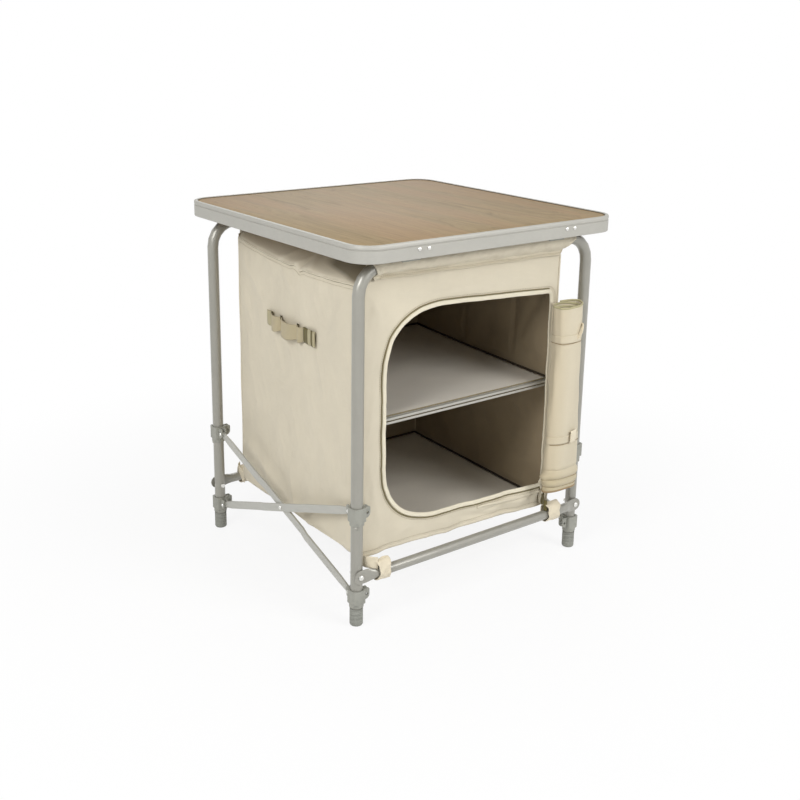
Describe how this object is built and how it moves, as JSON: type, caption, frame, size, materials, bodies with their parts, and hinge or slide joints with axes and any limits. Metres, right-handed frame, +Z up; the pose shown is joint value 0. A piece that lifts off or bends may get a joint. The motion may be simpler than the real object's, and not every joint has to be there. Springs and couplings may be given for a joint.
{
  "type": "folding camp table with storage cabinet",
  "caption": "Square camp table with a wood-look top in a metal rim, folding tube legs joined by side scissors, and a hanging fabric cabinet with a shelf and a rolled-up door.",
  "frame": {"origin": "on the ground under the middle of the top, between the soles of the four feet", "axes": "+Z up, +X to the right along the front, +Y from the front with the doorway to the back"},
  "size_m": [0.6, 0.6036, 0.7],
  "materials": {
    "board": "matt wood-grain laminate",
    "rim": "satin extruded",
    "tube": "satin grey coating",
    "bar": "satin grey coating",
    "plastic": "fine moulded grain",
    "steel": "bright zinc",
    "cloth": "coated woven polyester",
    "lining": "smooth coated board cover",
    "webbing": "woven tape"
  },
  "bodies": {
    "front_frame": {"front_tube": "tube", "front_crossbar": "tube", "foot_front_left": "plastic", "foot_front_right": "plastic", "bolt_front_left": "steel", "bolt_front_right": "steel", "collar_front_left": "plastic", "collar_front_right": "plastic", "pin_front_left_lower": "steel", "pin_front_right_lower": "steel", "loop_front_left": "webbing", "loop_front_right": "webbing", "front_panel": "cloth", "left_panel": "cloth", "right_panel": "cloth", "roof_panel": "cloth", "floor_board": "lining", "shelf_board": "lining", "shelf_rail": "rim", "door_binding": "webbing", "door_roll": "cloth", "door_tie_1": "webbing", "door_tie_2": "webbing", "handle_left": "webbing", "handle_right": "webbing"},
    "rear_frame": {"rear_tube": "tube", "rear_crossbar": "tube", "foot_rear_left": "plastic", "foot_rear_right": "plastic", "bolt_rear_left": "steel", "bolt_rear_right": "steel", "collar_rear_left": "plastic", "collar_rear_right": "plastic", "pin_rear_left_lower": "steel", "pin_rear_right_lower": "steel", "loop_rear_left": "webbing", "loop_rear_right": "webbing", "rear_panel": "cloth"},
    "left_inner_bar": {"left_inner_bar": "bar"},
    "left_outer_bar": {"left_outer_bar": "bar", "left_centre_rivet": "steel"},
    "right_inner_bar": {"right_inner_bar": "bar"},
    "right_outer_bar": {"right_outer_bar": "bar", "right_centre_rivet": "steel"},
    "table_top": {"table_board": "board", "table_rim": "rim", "bracket_front_left": "plastic", "bracket_front_right": "plastic", "bracket_rear_left": "plastic", "bracket_rear_right": "plastic"},
    "slider_front_left": {"slider_front_left": "plastic", "pin_front_left_upper": "steel"},
    "slider_front_right": {"slider_front_right": "plastic", "pin_front_right_upper": "steel"},
    "slider_rear_left": {"slider_rear_left": "plastic", "pin_rear_left_upper": "steel"},
    "slider_rear_right": {"slider_rear_right": "plastic", "pin_rear_right_upper": "steel"}
  },
  "joints": [
    {"name": "fold", "type": "hinge", "parent": "front_frame", "child": "left_inner_bar", "pos_m": [-0.27, -0.231, 0.057], "axis": [1, 0, 0], "range_deg": [0, 63.7], "deforming": ["left_panel", "right_panel", "roof_panel", "floor_board", "shelf_board", "handle_left", "handle_right"]},
    {"name": "left_crossing", "type": "hinge", "parent": "left_inner_bar", "child": "left_outer_bar", "pos_m": [-0.27, 0, 0.1365], "axis": [1, 0, 0], "range_deg": [-127.6, 0.2]},
    {"name": "rear_left_foot_pivot", "type": "hinge", "parent": "left_outer_bar", "child": "rear_frame", "pos_m": [-0.27, 0.231, 0.057], "axis": [1, 0, 0], "range_deg": [-0.1, 63.8]},
    {"name": "front_left_slide_pivot", "type": "hinge", "parent": "left_outer_bar", "child": "slider_front_left", "pos_m": [-0.27, -0.231, 0.216], "axis": [1, 0, 0], "range_deg": [-0.1, 63.8]},
    {"name": "rear_left_slide_pivot", "type": "hinge", "parent": "left_inner_bar", "child": "slider_rear_left", "pos_m": [-0.27, 0.231, 0.216], "axis": [1, 0, 0], "range_deg": [-63.8, 0.1]},
    {"name": "right_fold", "type": "hinge", "parent": "front_frame", "child": "right_inner_bar", "pos_m": [0.27, -0.231, 0.057], "axis": [1, 0, 0], "range_deg": [-0.1, 63.8]},
    {"name": "right_crossing", "type": "hinge", "parent": "right_inner_bar", "child": "right_outer_bar", "pos_m": [0.27, 0, 0.1365], "axis": [1, 0, 0], "range_deg": [-127.6, 0.2]},
    {"name": "front_right_slide_pivot", "type": "hinge", "parent": "right_outer_bar", "child": "slider_front_right", "pos_m": [0.27, -0.231, 0.216], "axis": [1, 0, 0], "range_deg": [-0.1, 63.8]},
    {"name": "rear_right_slide_pivot", "type": "hinge", "parent": "right_inner_bar", "child": "slider_rear_right", "pos_m": [0.27, 0.231, 0.216], "axis": [1, 0, 0], "range_deg": [-63.8, 0.1]},
    {"name": "top_lift", "type": "slide", "parent": "front_frame", "child": "table_top", "axis": [0, 0, 1], "range_m": [0, 0.12]}
  ],
  "couplings": [
    {"joint": "left_crossing", "follows": "fold", "ratio": -2},
    {"joint": "rear_left_foot_pivot", "follows": "fold", "ratio": 1},
    {"joint": "front_left_slide_pivot", "follows": "fold", "ratio": 1},
    {"joint": "rear_left_slide_pivot", "follows": "fold", "ratio": -1},
    {"joint": "right_fold", "follows": "fold", "ratio": 1},
    {"joint": "right_crossing", "follows": "fold", "ratio": -2},
    {"joint": "front_right_slide_pivot", "follows": "fold", "ratio": 1},
    {"joint": "rear_right_slide_pivot", "follows": "fold", "ratio": -1}
  ]
}
